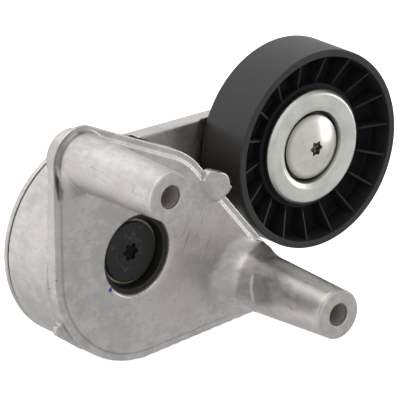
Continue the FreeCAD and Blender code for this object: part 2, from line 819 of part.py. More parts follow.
def make_bearing_rings():
    middle = (d.bearing_front + d.bearing_back) * 0.5
    groove_r = d.ball_r.value + d.running_gap.value
    half_groove = math.sqrt(groove_r ** 2 - d.race_land.value ** 2)
    outer_land_r = d.ball_pitch_r + d.race_land
    inner_land_r = d.ball_pitch_r - d.race_land
    outer = new_body("bearing_outer_ring", d.pulley_x, d.pulley_z)
    turned(outer, [
        (outer_land_r, d.bearing_front),
        (d.bearing_r - d.race_chamfer, d.bearing_front),
        (d.bearing_r, d.bearing_front + d.race_chamfer),
        (d.bearing_r, d.bearing_back - d.race_chamfer),
        (d.bearing_r - d.race_chamfer, d.bearing_back),
        (outer_land_r, d.bearing_back),
        (outer_land_r, middle + half_groove),
        (outer_land_r, middle - half_groove),
    ], arcs={6: -groove_r})
    inner = new_body("bearing_inner_ring", d.pulley_x, d.pulley_z)
    turned(inner, [
        (d.bearing_bore_r, d.bearing_front + d.inner_chamfer),
        (d.bearing_bore_r + d.inner_chamfer, d.bearing_front),
        (inner_land_r, d.bearing_front),
        (inner_land_r, middle - half_groove),
        (inner_land_r, middle + half_groove),
        (inner_land_r, d.bearing_back),
        (d.bearing_bore_r + d.inner_chamfer, d.bearing_back),
        (d.bearing_bore_r, d.bearing_back - d.inner_chamfer),
    ], arcs={3: -groove_r})
    for name, front in (("bearing_seal_front", d.bearing_front + d.seal_step),
                        ("bearing_seal_rear", d.bearing_back - d.seal_step - d.seal_thickness)):
        make_ring(name, inner_land_r + d.seal_clearance, outer_land_r, front, front + d.seal_thickness,
                  d.pulley_x, d.pulley_z)


def make_balls_and_cage():
    middle = (d.bearing_front + d.bearing_back) * 0.5
    cage = new_body("bearing_cage", d.pulley_x, d.pulley_z)
    cage_inner_r = d.ball_pitch_r - d.cage_half_wall
    cage_outer_r = d.ball_pitch_r + d.cage_half_wall
    turned(cage, [
        (cage_inner_r, middle - d.cage_half_width), (cage_outer_r, middle - d.cage_half_width),
        (cage_outer_r, middle + d.cage_half_width), (cage_inner_r, middle + d.cage_half_width),
    ])
    balls = []
    count = int(d.ball_count.value)
    window_depth = d.cage_half_wall * 4
    for index in range(count):
        angle = 2 * math.pi * index / count
        outwards = Vector(math.cos(angle), 0, math.sin(angle))
        window = cage.newObject("PartDesign::SubtractiveCylinder", "ball_window")
        bind(window, "Radius", d.ball_r + d.window_clearance)
        bind(window, "Height", window_depth)
        start_r = d.ball_pitch_r.value - window_depth.value / 2
        inner_end = outwards * start_r + Vector(0, middle.value, 0)
        window.Placement = Placement(inner_end, Rotation(Vector(0, 0, 1), outwards))
        cage.Tip = window
        ball = doc.addObject("Part::Sphere", "ball")
        bind(ball, "Radius", d.ball_r)
        bind(ball, "Placement.Base.x", d.pulley_x + d.ball_pitch_r * outwards.x)
        bind(ball, "Placement.Base.y", middle)
        bind(ball, "Placement.Base.z", d.pulley_z + d.ball_pitch_r * outwards.z)
        balls.append(ball)
    group = doc.addObject("Part::Compound", "bearing_balls")
    group.Label = "bearing_balls"
    group.Links = balls
    nodes.append(group)


SHIELD_BEND_R = 1.6


def make_front_shield(floor):
    """A pressed sheet dish: flat round the bolt head, raised towards its rolled edge."""
    sheet_metal = d.shield_sheet
    head_r = d.bolt_head_r
    shield = new_body("dust_shield_front", d.pulley_x, d.pulley_z)
    turned(shield, [
        (d.thread_r + d.sleeve_clearance, floor),
        (head_r + 0.7, floor),
        (head_r + 1.1, floor - 0.5),
        (head_r + 1.9, d.shield_front + 0.7),
        (head_r + 3.1, d.shield_front),
        (d.shield_r - 1.5, d.shield_front),
        (d.shield_r, d.shield_front + 1.3),
        (d.shield_r, d.shield_front + 2.4),
        (d.shield_r - sheet_metal, d.shield_front + 2.4),
        (d.shield_r - sheet_metal, d.shield_front + 1.5),
        (d.shield_r - 1.7, d.shield_front + sheet_metal),
        (head_r + 3.4, d.shield_front + sheet_metal),
        (head_r + 2.0, floor + 0.1),
        (head_r + 1.3, d.bearing_front),
        (d.thread_r + d.sleeve_clearance, d.bearing_front),
    ], arcs={3: SHIELD_BEND_R, 5: SHIELD_BEND_R})


def make_rear_shield():
    raised = d.bearing_back + d.rear_shield_rise
    sheet_metal = d.rear_shield_sheet
    clamped_r = d.arm_boss_r + 0.2
    rear = new_body("dust_shield_rear", d.pulley_x, d.pulley_z)
    turned(rear, [
        (d.thread_r + d.sleeve_clearance, d.bearing_back),
        (clamped_r, d.bearing_back),
        (clamped_r + 1.4, raised),
        (d.rear_shield_r, raised),
        (d.rear_shield_r, raised + sheet_metal),
        (clamped_r + 1.1, raised + sheet_metal),
        (clamped_r, d.bearing_back + sheet_metal),
        (d.thread_r + d.sleeve_clearance, d.bearing_back + sheet_metal),
    ])


def make_pulley_bolt(floor):
    bolt = new_body("pulley_bolt", d.pulley_x, d.pulley_z)
    crown_r = d.bolt_head_r - d.crown_edge
    rise = d.crown_rise.value
    dome_r = (crown_r.value ** 2 + rise ** 2) / (2 * rise)
    shank_r = d.thread_r - d.shank_clearance
    turned(bolt, [
        (0, d.bolt_head_front),
        (crown_r, d.bolt_head_front + d.crown_rise),
        (d.bolt_head_r, d.bolt_head_front + d.crown_rise + d.crown_edge),
        (d.bolt_head_r, floor),
        (shank_r, floor),
        (shank_r, d.shank_back - d.tip_taper),
        (shank_r - d.tip_taper, d.shank_back),
        (0, d.shank_back),
    ], arcs={0: dome_r})
    cut_drive(bolt, d.bolt_head_front, d.torx_depth)


def make_pulley_mounting():
    insert = new_body("pulley_insert", d.pulley_x, d.pulley_z)
    insert_front = d.pulley_hub_front + d.insert_step
    insert_back = d.pulley_hub_back - d.insert_step
    lip_front = d.bearing_back + d.face_gap
    turned(insert, [
        (d.bearing_r, insert_front),
        (d.insert_r, insert_front),
        (d.insert_r, insert_back),
        (d.bearing_r - d.insert_lip, insert_back),
        (d.bearing_r - d.insert_lip, lip_front),
        (d.bearing_r, lip_front),
    ])
    make_ring("bearing_sleeve", d.thread_r + d.sleeve_clearance, d.bearing_bore_r,
              d.bearing_front, d.bearing_back, d.pulley_x, d.pulley_z)
    floor = d.bearing_front - d.shield_sheet
    make_front_shield(floor)
    make_rear_shield()
    make_pulley_bolt(floor)


make_pulley_body()
make_bearing_rings()
make_balls_and_cage()
make_pulley_mounting()


# --------------------------------------------------------------------- export

doc.recompute()
for item in doc.Objects:
    if "Invalid" in item.State or "Error" in item.State:
        raise RuntimeError("failed object: " + item.Name + " " + str(item.State))
os.makedirs("parts", exist_ok=True)
for node in nodes:
    shape = node.Shape
    if shape.isNull() or not shape.isValid():
        raise RuntimeError("bad shape: " + node.Label)
    print("{:24s} {:10.1f} mm3 {} solids".format(node.Label, shape.Volume, len(shape.Solids)))
    shape.exportStep("parts/" + node.Label + ".step")
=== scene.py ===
import json
import math

import bmesh
import bpy
import numpy as np
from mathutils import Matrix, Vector, noise


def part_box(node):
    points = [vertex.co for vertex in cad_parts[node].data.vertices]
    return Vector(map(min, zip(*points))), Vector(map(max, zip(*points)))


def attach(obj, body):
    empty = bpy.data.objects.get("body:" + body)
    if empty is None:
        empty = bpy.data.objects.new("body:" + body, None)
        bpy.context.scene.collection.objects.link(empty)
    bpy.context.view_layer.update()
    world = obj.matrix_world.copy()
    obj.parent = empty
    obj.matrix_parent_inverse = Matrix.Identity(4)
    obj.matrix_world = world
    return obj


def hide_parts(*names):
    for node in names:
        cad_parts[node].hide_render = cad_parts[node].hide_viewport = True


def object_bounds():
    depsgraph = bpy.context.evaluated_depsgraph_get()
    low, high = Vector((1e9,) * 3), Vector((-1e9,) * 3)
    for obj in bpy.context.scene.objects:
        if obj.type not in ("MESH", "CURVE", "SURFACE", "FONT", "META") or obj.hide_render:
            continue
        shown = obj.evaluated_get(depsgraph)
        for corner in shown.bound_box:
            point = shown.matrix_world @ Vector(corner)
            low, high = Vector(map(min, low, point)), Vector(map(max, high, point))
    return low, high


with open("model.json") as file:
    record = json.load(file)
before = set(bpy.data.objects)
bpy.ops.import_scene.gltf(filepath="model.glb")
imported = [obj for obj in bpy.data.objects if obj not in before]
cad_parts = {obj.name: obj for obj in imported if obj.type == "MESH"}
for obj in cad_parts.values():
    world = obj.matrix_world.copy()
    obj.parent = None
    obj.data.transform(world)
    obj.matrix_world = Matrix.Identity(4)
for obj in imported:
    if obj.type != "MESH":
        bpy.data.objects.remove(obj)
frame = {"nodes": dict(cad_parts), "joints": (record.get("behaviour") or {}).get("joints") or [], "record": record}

mm = 0.001
cadLow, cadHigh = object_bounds()
mounts = {mount["name"]: mount for mount in frame["record"]["mounts"]}
joints = {joint["name"]: joint for joint in frame["joints"]}
upperBore = Vector(mounts["upper_bore"]["pos_m"])
lowerBore = Vector(mounts["lower_bore"]["pos_m"])
boreRadius = mounts["upper_bore"]["dims"]["r_mm"] * mm
pivot = Vector(joints["arm_swing"]["pos_m"])
hub = Vector(joints["pulley_spin"]["pos_m"])
print("frame loaded,", len(frame["nodes"]), "nodes")


# shader wrappers

class Wire:
    # a socket that adds Math nodes when it is used in an expression
    def __init__(self, shader, socket):
        self.shader = shader
        self.socket = socket

    def maths(self, operation, *values):
        return self.shader.node("Math", {"operation": operation}, dict(enumerate(values)))

    def __add__(self, other):
        return self.maths("ADD", self, other)

    def __radd__(self, other):
        return self.maths("ADD", other, self)

    def __sub__(self, other):
        return self.maths("SUBTRACT", self, other)

    def __rsub__(self, other):
        return self.maths("SUBTRACT", other, self)

    def __mul__(self, other):
        return self.maths("MULTIPLY", self, other)

    def __rmul__(self, other):
        return self.maths("MULTIPLY", other, self)

    def __truediv__(self, other):
        return self.maths("DIVIDE", self, other)

    def __rtruediv__(self, other):
        return self.maths("DIVIDE", other, self)


class Shader:
    # one material and the nodes that it is made of
    def __init__(self, name):
        self.material = bpy.data.materials.new(name)
        self.material.use_nodes = True
        self.tree = self.material.node_tree
        self.tree.nodes.clear()
        self.place = self.node("TexCoord", output="Object")

    def node(self, kind, settings=None, sockets=None, output=0):
        made = self.tree.nodes.new("ShaderNode" + kind)
        for setting, value in (settings or {}).items():
            setattr(made, setting, value)
        for socket, value in (sockets or {}).items():
            if isinstance(value, Wire):
                self.tree.links.new(value.socket, made.inputs[socket])
            else:
                made.inputs[socket].default_value = value
        return Wire(self, made.outputs[output]) if made.outputs else made

    def mixed(self, factor, first, second):
        first = first if isinstance(first, Wire) else (*first, 1)
        second = second if isinstance(second, Wire) else (*second, 1)
        return self.node("Mix", {"data_type": "RGBA"}, {0: factor, 6: first, 7: second}, 2)

    def grain(self, scale, detail=3, rough=0.55, stretch=(1, 1, 1), place=None, drift=0.0):
        spread = self.node("VectorMath", {"operation": "MULTIPLY"}, {0: place or self.place, 1: stretch})
        moved = self.node("VectorMath", {"operation": "ADD"}, {0: spread, 1: (drift, drift * 0.7, -drift)})
        return self.node("TexNoise", None, {
            "Vector": moved, "Scale": scale, "Detail": detail, "Roughness": rough})

    def step(self, value, low, high):  # 0 under low, 1 over high, smooth between
        return self.node("MapRange", {"interpolation_type": "SMOOTHSTEP"}, {
            "Value": value, "From Min": low, "From Max": high})

    def part(self, axis):  # one coordinate of the place, 0 to 2
        return self.node("SeparateXYZ", None, {0: self.place}, axis)

    def fromAxis(self, centre):  # distance from a line along Y through centre
        flat = self.node("VectorMath", {"operation": "MULTIPLY"}, {0: self.place, 1: (1, 0, 1)})
        return self.node("VectorMath", {"operation": "DISTANCE"}, {0: flat, 1: (centre.x, 0, centre.z)}, 1)

    def fromPoint(self, point):
        return self.node("VectorMath", {"operation": "DISTANCE"}, {0: self.place, 1: point}, 1)

    def bump(self, height, distance, normal=None):
        sockets = {"Height": height, "Distance": distance, "Strength": 1.0}
        if normal:
            sockets["Normal"] = normal
        return self.node("Bump", None, sockets)

    def finish(self, **sockets):
        names = {"colour": "Base Color", "metal": "Metallic", "rough": "Roughness", "normal": "Normal",
                 "ior": "IOR", "glow": "Emission Color", "glowPower": "Emission Strength"}
        shell = self.node("BsdfPrincipled", None, {names[name]: value for name, value in sockets.items()})
        self.node("OutputMaterial", None, {"Surface": shell})
        return self.material


# materials

castLook = {
    "pale": (0.70, 0.68, 0.665),
    "dull": (0.545, 0.527, 0.512),
    "warm": (0.66, 0.60, 0.572),
    "green": (0.595, 0.605, 0.565),
    "marksAndShade": (0.17, 0.16, 0.15),
    "rough": 0.38,
    "paint": (0.03, 0.07, 0.42),
    "seamTint": (0.62, 0.60, 0.42),
}


def castAluminium(name, drift, extras=None):
    s = Shader(name)
    clouds = s.grain(42, 4, 0.6, drift=drift)
    blotches = s.grain(170, 5, 0.62, drift=drift + 3)
    sand = s.grain(1300, 3, 0.6, drift=drift)
    scuff = s.grain(420, 4, 0.7, (1, 0.5, 1.6), drift=drift + 17)
    tone = s.step(clouds * 0.35 + blotches * 0.35 + scuff * 0.30, 0.42, 0.58)
    colour = s.mixed(tone, castLook["dull"], castLook["pale"])
    colour = s.mixed(s.step(s.grain(31, 3, drift=drift + 7), 0.50, 0.66) * 0.55, colour, castLook["warm"])
    colour = s.mixed(s.step(s.grain(27, 3, drift=drift + 11), 0.54, 0.68) * 0.40, colour, castLook["green"])
    edge = s.node("NewGeometry", output="Pointiness")
    crest = s.step(edge, 0.515, 0.56)
    # creases and hollows are darkened here: painted shade
    creaseShade = 1 - s.step(edge, 0.43, 0.485)
    colour = s.mixed(crest * 0.5, colour, castLook["pale"])
    patch = s.step(s.grain(55, 3, drift=drift + 5), 0.48, 0.60)
    speck = s.step(s.grain(640, 2, 0.5, drift=drift + 9), 0.69, 0.74) * patch
    # the dark specks are real marks; the crease part is painted shade
    marksAndShade = speck.maths("MAXIMUM", speck * 0.75, creaseShade * 0.4)
    rough = castLook["rough"] + 0.20 * (blotches - 0.5) + 0.16 * (scuff - 0.5)
    rough = rough + 0.10 * (sand - 0.5) - 0.08 * crest
    metal = 1.0 - 0.75 * speck
    if extras:
        colour, marksAndShade, rough, metal = extras(s, colour, marksAndShade, rough, metal)
    colour = s.mixed(marksAndShade, colour, castLook["marksAndShade"])
    pits = s.step(s.grain(480, 2, 0.5, drift=drift + 13), 0.64, 0.74)
    normal = s.bump(s.grain(210, 3, 0.5, drift=drift + 2), 0.05 * mm)
    normal = s.bump(sand + 0.8 * scuff - 0.8 * pits - speck, 0.026 * mm, normal)
    return s.finish(colour=colour, metal=metal, rough=rough, normal=normal)


markShape = {  # in mm
    "lowerRootShade": (8, 18), "ring": (8.7, 9.7), "ringEnd": (10.4, 11.3), "ringFront": (47.4, 48.4),
    "ringBack": (50.0, 50.5), "scores": (7, 19), "stepFront": (49.25, 49.45), "stepBack": (49.72, 49.86),
    "stepClear": (19, 21), "dot": (1.25, 1.45), "stain": (2.4, 0.4),
}
ringDrop = 9.5 * mm


def housingMarksAndShade(s, colour, marksAndShade, rough, metal):
    # handling marks and painted shade: painted shade at the lower root and round the upper root, short scores,
    # painted shade in the step's corner, a paint dot, a stained drum edge
    m = {name: (low * mm, high * mm) for name, (low, high) in markShape.items()}
    # painted shade over the side of the lower standoff near its root, unevenly strong
    root = Vector((lowerBore.x - 9 * mm, 30 * mm, lowerBore.z + 5 * mm))
    lowerRootShade = 1 - s.step(s.fromPoint(root) + 10 * mm * s.grain(150, 4), *m["lowerRootShade"])
    streak = s.step(s.grain(190, 4, 0.6, (1.6, 0.6, 1)), 0.46, 0.62)
    marksAndShade = marksAndShade + lowerRootShade * (0.36 + 0.26 * streak)
    # painted shade in a ring round the upper standoff's root and down the step beside it
    right, depth, height = (s.part(axis) for axis in range(3))
    middle = height.maths("MAXIMUM", height.maths("MINIMUM", height, 0.0), -ringDrop)
    ringPlace = s.node("CombineXYZ", None, {0: right, 2: height - middle})
    ring = s.node("VectorMath", {"operation": "LENGTH"}, {0: ringPlace}, 1) + 0.9 * mm * (s.grain(240, 3) - 0.5)
    rootRingShade = s.step(ring, *m["ring"]) * (1 - s.step(ring, *m["ringEnd"]))
    rootRingShade = rootRingShade * s.step(0.45 * height - right, 2 * mm, 5 * mm) * s.step(depth, *m["ringFront"])
    rootRingShade = rootRingShade * (1 - s.step(depth, *m["ringBack"]))
    marksAndShade = marksAndShade.maths("MAXIMUM", marksAndShade, 0.88 * rootRingShade)
    lean = math.radians(-28)
    turned = s.node("VectorRotate", {"rotation_type": "Y_AXIS"}, {"Vector": s.place, "Angle": lean})
    score = s.step(s.grain(90, 2, 0.4, (14, 1, 1), turned), 0.66, 0.70)
    across = Vector((54 * mm, 49 * mm, -44 * mm))
    where = 1 - s.step(s.fromPoint(across), *m["scores"])
    marksAndShade = marksAndShade + 0.5 * score * where
    # painted shade in the corner of the step round the plate, stronger on its lower left
    corner = s.step(depth, *m["stepFront"]) * (1 - s.step(depth, *m["stepBack"]))
    corner = corner * s.step(s.fromAxis(pivot), *m["stepClear"]) * (0.45 + 0.55 * s.grain(330, 4))
    lowerLeft = s.step((pivot.x + pivot.z) - right - height, -14 * mm, 6 * mm)
    marksAndShade = marksAndShade.maths("MAXIMUM", marksAndShade, (0.10 + 0.42 * lowerLeft) * corner)
    dotPlace = Vector((pivot.x - 13.3 * mm, 49.6 * mm, pivot.z - 9.9 * mm))
    dot = 1 - s.step(s.fromPoint(dotPlace) + 0.7 * mm * s.grain(1500, 2), *m["dot"])
    colour = s.mixed(dot, colour, castLook["paint"])
    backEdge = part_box("base_housing")[1].y
    stain = s.step(depth, *(backEdge - inward for inward in m["stain"])) * s.step(s.grain(120, 4), 0.40, 0.62)
    colour = s.mixed(0.6 * stain, colour, castLook["seamTint"])
    return colour, marksAndShade * (1 - dot), rough + 0.15 * lowerRootShade, metal * (1 - dot)


seatLook = {"bright": (0.72, 0.70, 0.675), "dull": (0.56, 0.545, 0.52), "bore": (0.50, 0.455, 0.41),
            "rough": 0.34}


def machinedSeat(name, bore):
    # faced and drilled aluminium with turning marks round the bore
    s = Shader(name)
    out = s.fromAxis(bore)
    ringPlace = s.node("CombineXYZ", None, {0: out})
    rings = s.grain(4200, 4, 0.7, place=ringPlace)
    smear = s.grain(300, 4, 0.6)
    colour = s.mixed(s.step(rings * 0.5 + smear * 0.5, 0.40, 0.62), seatLook["dull"], seatLook["bright"])
    inside = 1 - s.step(out, boreRadius + 0.02 * mm, boreRadius + 0.12 * mm)
    inside = inside * s.step(s.part(1), 0.4 * mm, 2.5 * mm)
    chatter = s.grain(90, 3, 0.6, (1, 14, 1))
    colour = s.mixed(inside * (0.55 + 0.45 * chatter), colour, seatLook["bore"])
    rough = seatLook["rough"] + 0.16 * smear + 0.12 * inside
    normal = s.bump(rings + 0.3 * smear + inside * chatter * 4, 0.012 * mm)
    return s.finish(colour=colour, metal=1.0 - 0.75 * inside, rough=rough, normal=normal)


wheelShape = {
    "rimWall": 2.7, "webFront": 9.7, "webBack": 12.7, "hubRadius": 24.2, "hubFront": 5.7, "hubBack": 19.7,
    "boreRadius": 21.2, "ribs": 18, "firstRib": 3.0, "ribTop": 0.75, "ribRoot": 1.25, "rimStep": 1.0,
    "hubStep": 5.9,
}
nylonLook = {"black": (0.0085, 0.008, 0.0078), "dusty": (0.045, 0.043, 0.041), "pocket": (0.001, 0.001, 0.001),
             "rough": 0.43}


def blackNylon():
    # glass-filled nylon, a little dusty, with fine turning streaks on the belt face
    s = Shader("blackNylon")
    out = s.fromAxis(hub)
    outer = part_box("pulley_body")[1].x - hub.x
    face = s.step(out, outer - 2.9 * mm, outer - 2.5 * mm)
    belt = s.step(out, outer - 0.35 * mm, outer - 0.1 * mm)
    streakPlace = s.node("CombineXYZ", None, {0: s.part(1)})
    streaks = s.grain(2600, 4, 0.7, place=streakPlace)
    dust = s.grain(75, 4, 0.6)
    fibre = s.grain(1900, 3, 0.6)
    # the pockets between the ribs are painted black, as painted shade
    front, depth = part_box("pulley_body")[0].y, s.part(1)
    inner = outer - wheelShape["rimWall"] * mm
    slope = (wheelShape["hubStep"] - wheelShape["rimStep"]) / (inner / mm - wheelShape["hubRadius"])
    ribTop = front + wheelShape["rimStep"] * mm + (inner - out) * slope
    ribTop = ribTop.maths("MINIMUM", ribTop, front + 4.6 * mm)
    pocket = s.step(depth - ribTop, 0.2 * mm, 0.9 * mm) * (1 - s.step(out, inner, inner + 0.2 * mm))
    pocket = pocket * (1 - s.step(depth, front + 10.4 * mm, front + 11.4 * mm))
    tone = 0.10 * s.step(dust, 0.35, 0.65) + 0.16 * fibre + face * 0.42 - belt * (0.27 - 0.22 * streaks)
    colour = s.mixed(tone, nylonLook["black"], nylonLook["dusty"])
    colour = s.mixed(0.96 * pocket, colour, nylonLook["pocket"])
    rough = nylonLook["rough"] + 0.12 * fibre + 0.08 * (dust - 0.5) - 0.15 * belt + 0.3 * pocket
    normal = s.bump(s.grain(260, 2), 0.02 * mm)
    normal = s.bump(fibre + belt * streaks * 0.8, 0.010 * mm, normal)
    return s.finish(colour=colour, rough=rough, normal=normal, ior=1.5)


boltShape = {"crown": 11.75, "rise": 2.9, "drive": 2.85, "depth": 2.6}
capShape = {"drive": 3.3, "depth": 2.4, "edge": 0.5}


def driveMask(s, centre, front, radius):  # 1 inside the recess of a screw's drive
    inside = s.step(s.part(1), front + 0.3 * mm, front + 0.9 * mm)
    return inside * (1 - s.step(s.fromAxis(centre), radius + 0.1 * mm, radius + 0.3 * mm))


def gapShade(s, colour, centre):
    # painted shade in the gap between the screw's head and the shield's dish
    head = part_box("pulley_bolt")[1].x - hub.x
    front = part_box("dust_shield_front")[0].y
    low = s.step(s.part(1), front + 0.7 * mm, front + 2.4 * mm)
    near = 1 - s.step(s.fromAxis(centre), head + 0.4 * mm, head + 1.5 * mm)
    return s.mixed(0.9 * low * near, colour, (0.045, 0.044, 0.038))


def platedSteel(name, bright, dull, rough, centre=None, drift=0.0, drive=None):
    # zinc plate: soft cloudy film, fine grain, faint handling marks and turning rings where centre is given
    s = Shader(name)
    film = s.grain(140, 5, 0.6, drift=drift)
    fine = s.grain(1500, 3, 0.6, drift=drift)
    marks = s.step(s.grain(260, 3, 0.55, (1, 1, 2.2), drift=drift + 4), 0.60, 0.72)
    colour = s.mixed(s.step(film, 0.38, 0.62), dull, bright)
    colour = s.mixed(0.30 * marks, colour, tuple(0.72 * level for level in dull))
    height = fine
    if centre == hub:
        colour = gapShade(s, colour, centre)
    if drive:
        # the drive recess is darkened as painted shade
        driveShade = driveMask(s, centre, *drive) * (0.55 + 0.45 * s.grain(700, 2))
        colour = s.mixed(driveShade, colour, (0.06, 0.058, 0.048))
    if centre is not None:
        ringPlace = s.node("CombineXYZ", None, {0: s.fromAxis(centre)})
        height = height * 0.6 + 0.7 * s.grain(2400, 3, 0.6, place=ringPlace)
    normal = s.bump(film, 0.03 * mm)
    normal = s.bump(height, 0.008 * mm, normal)
    return s.finish(colour=colour, metal=1.0, rough=rough + 0.14 * (film - 0.5) + 0.10 * fine, normal=normal)


def blackenedSteel(name):
    # phosphated screw with grey rub marks on its raised parts
    s = Shader(name)
    blot = s.grain(620, 4, 0.65)
    rub = s.step(blot, 0.55, 0.66) * s.step(s.grain(130, 3, drift=2), 0.50, 0.62)
    colour = s.mixed(s.grain(900, 3), (0.004, 0.0038, 0.0037), (0.011, 0.0105, 0.010))
    colour = s.mixed(0.55 * rub, colour, (0.13, 0.125, 0.115))
    # the drive recess is painted black and made fully metallic so it reflects nothing: painted shade
    inside = driveMask(s, pivot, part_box("pivot_bolt")[0].y, capShape["drive"] * mm)
    colour = s.mixed(inside, colour, (0.0006, 0.0006, 0.0006))
    normal = s.bump(blot, 0.03 * mm)
    return s.finish(colour=colour, metal=0.1 + 0.9 * inside, rough=0.50 + 0.2 * (blot - 0.5), normal=normal)


def polymer(name, dark, pale, rough, drift=0.0, mouth=None):
    # moulded polymer or rubber: fine grain, soft cloud, slight wear on the crests
    s = Shader(name)
    cloud = s.grain(110, 4, 0.6, drift=drift)
    fine = s.grain(1400, 3, 0.6, drift=drift)
    colour = s.mixed(s.step(cloud, 0.35, 0.68) * 0.8 + 0.2 * fine, dark, pale)
    if mouth is not None:  # the rim that faces out of the hole is painted near black, as painted shade, to the tone of the wall
        rim = 1 - s.step(s.part(1), mouth, mouth + 0.5 * mm)
        colour = s.mixed(0.8 * rim, colour, (0.002, 0.002, 0.0015))
    normal = s.bump(fine, 0.015 * mm)
    return s.finish(colour=colour, rough=rough + 0.15 * (cloud - 0.5) + 0.06 * fine, normal=normal)


plain = {
    "bright": platedSteel("groundSteel", (0.66, 0.66, 0.67), (0.50, 0.50, 0.51), 0.18),
    "spring": platedSteel("springWire", (0.20, 0.20, 0.21), (0.11, 0.11, 0.12), 0.34, drift=2),
    "zinc": platedSteel("zincShield", (0.87, 0.875, 0.82), (0.77, 0.78, 0.73), 0.32, hub, 5),
    "boltZinc": platedSteel("zincBolt", (0.95, 0.93, 0.85), (0.86, 0.84, 0.77), 0.26, hub, 8,
                            (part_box("pulley_bolt")[0].y, boltShape["drive"] * mm)),
    "yellow": platedSteel("yellowZinc", (0.36, 0.34, 0.22), (0.26, 0.24, 0.14), 0.40, pivot, 3),
    "bush": polymer("bushPolymer", (0.008, 0.0085, 0.006), (0.020, 0.021, 0.014), 0.45, 1,
                    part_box("front_bush")[0].y),
    "seal": polymer("sealRubber", (0.012, 0.012, 0.012), (0.035, 0.033, 0.031), 0.62, 4),
    "cage": polymer("cageNylon", (0.42, 0.35, 0.22), (0.56, 0.48, 0.33), 0.48, 6),
    "nylon": blackNylon(),
    "black": blackenedSteel("blackScrew"),
}
print("materials ready")


# mesh helpers

def addPiece(name, mesh, material):
    piece = bpy.data.objects.new(name, mesh)
    bpy.context.scene.collection.objects.link(piece)
    mesh.materials.clear()
    mesh.materials.append(material)
    return piece


def rounded(outline, steps=4):
    # outline points are (radius, depth, corner radius); each corner becomes an arc
    path = []
    count = len(outline)
    for index, corner in enumerate(outline):
        here = Vector(corner[:2])
        before = (Vector(outline[index - 1][:2]) - here).normalized()
        after = (Vector(outline[(index + 1) % count][:2]) - here).normalized()
        between = before.angle(after)
        if not corner[2] or between > math.radians(176):
            path.append(here)
            continue
        centre = here + (before + after).normalized() * (corner[2] / math.sin(between / 2))
        first = here + before * (corner[2] / math.tan(between / 2)) - centre
        last = here + after * (corner[2] / math.tan(between / 2)) - centre
        sweep = first.angle(last)
        for step in range(steps + 1):
            share = step / steps
            arm = first * math.sin((1 - share) * sweep) + last * math.sin(share * sweep)
            path.append(centre + arm / math.sin(sweep))
    return path


def turnedRing(form, outline, centre, around=180):
    # a closed outline in mm swept round a line along Y, added to a bmesh
    path = rounded(outline)
    loops = []
    for turn in range(around):
        angle = 2 * math.pi * turn / around
        loops.append([form.verts.new((
            centre.x + point.x * mm * math.cos(angle), point.y * mm,
            centre.z + point.x * mm * math.sin(angle))) for point in path])
    for turn in range(around):
        here, there = loops[turn], loops[(turn + 1) % around]
        for index in range(len(path)):
            step = (index + 1) % len(path)
            form.faces.new((here[index], here[step], there[step], there[index]))


sharpAngle = math.radians(38)


def finishedForm(name, form, material, body):
    bmesh.ops.remove_doubles(form, verts=form.verts, dist=1e-6)
    flat = [face for face in form.faces if face.calc_area() < 1e-14]
    bmesh.ops.delete(form, geom=flat, context="FACES_ONLY")
    bmesh.ops.recalc_face_normals(form, faces=form.faces)
    mesh = bpy.data.meshes.new(name)
    form.to_mesh(mesh)
    form.free()
    mesh.shade_smooth()
    mesh.set_sharp_from_angle(angle=sharpAngle)
    piece = addPiece(name, mesh, material)
    even = piece.modifiers.new("evenShading", "WEIGHTED_NORMAL")
    even.keep_sharp = True
    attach(piece, body)
    return piece


# castings: the solids copied, remeshed fine and softened so that every edge has a cast radius

castShape = {"voxel": 0.42 * mm, "softening": 3, "pulls": (0.55, -0.45), "ripple": 0.03 * mm,
             "rippleSize": 9.0 * mm}


def placesOf(shape):
    places = np.empty(len(shape.vertices) * 3)
    shape.vertices.foreach_get("co", places)
    return places.reshape(-1, 3)


def store(shape, places):
    shape.vertices.foreach_set("co", places.reshape(-1))
    shape.update()


def castingMesh(name, nodes):
    joined = bmesh.new()
    for node in nodes:
        joined.from_mesh(frame["nodes"][node].data)
    bmesh.ops.remove_doubles(joined, verts=joined.verts, dist=1e-6)
    rough = bpy.data.meshes.new(name + "Rough")
    joined.to_mesh(rough)
    joined.free()
    holder = bpy.data.objects.new(name + "Rough", rough)
    bpy.context.scene.collection.objects.link(holder)
    remesh = holder.modifiers.new("remesh", "REMESH")
    remesh.mode = "VOXEL"
    remesh.voxel_size = castShape["voxel"]
    shape = bpy.data.meshes.new_from_object(holder.evaluated_get(bpy.context.evaluated_depsgraph_get()))
    bpy.data.objects.remove(holder)
    shape.name = name
    return shape


def softened(shape, hold):
    # repeated averaging with a push back, so that edges round off and walls keep their thickness
    places = placesOf(shape)
    count = len(places)
    ends = np.empty(len(shape.edges) * 2, np.int64)
    shape.edges.foreach_get("vertices", ends)
    ends = ends.reshape(-1, 2)
    near = np.concatenate([ends[:, 0], ends[:, 1]])
    far = np.concatenate([ends[:, 1], ends[:, 0]])
    neighbours = np.bincount(near, minlength=count)
    share = 1 - hold(places)
    for turn in range(castShape["softening"]):
        for pull in castShape["pulls"]:
            mean = np.stack([np.bincount(near, places[far, axis], count) for axis in range(3)], 1)
            mean /= np.maximum(neighbours, 1)[:, None]
            places += pull * share[:, None] * (mean - places)
    return places


def rippled(shape, places, share):
    # the gentle unevenness of a casting, only ever inwards
    store(shape, places)
    normals = np.empty(len(shape.vertices) * 3)
    shape.vertices.foreach_get("normal", normals)
    normals = normals.reshape(-1, 3)
    size = castShape["rippleSize"]
    depth = np.array([0.5 + 0.5 * noise.noise(Vector(place) / size) for place in places])
    store(shape, places - normals * (depth * castShape["ripple"] * share)[:, None])
    shape.shade_smooth()
    return shape


def radiusFrom(places, centre):
    return np.hypot(places[:, 0] - centre.x, places[:, 2] - centre.z)


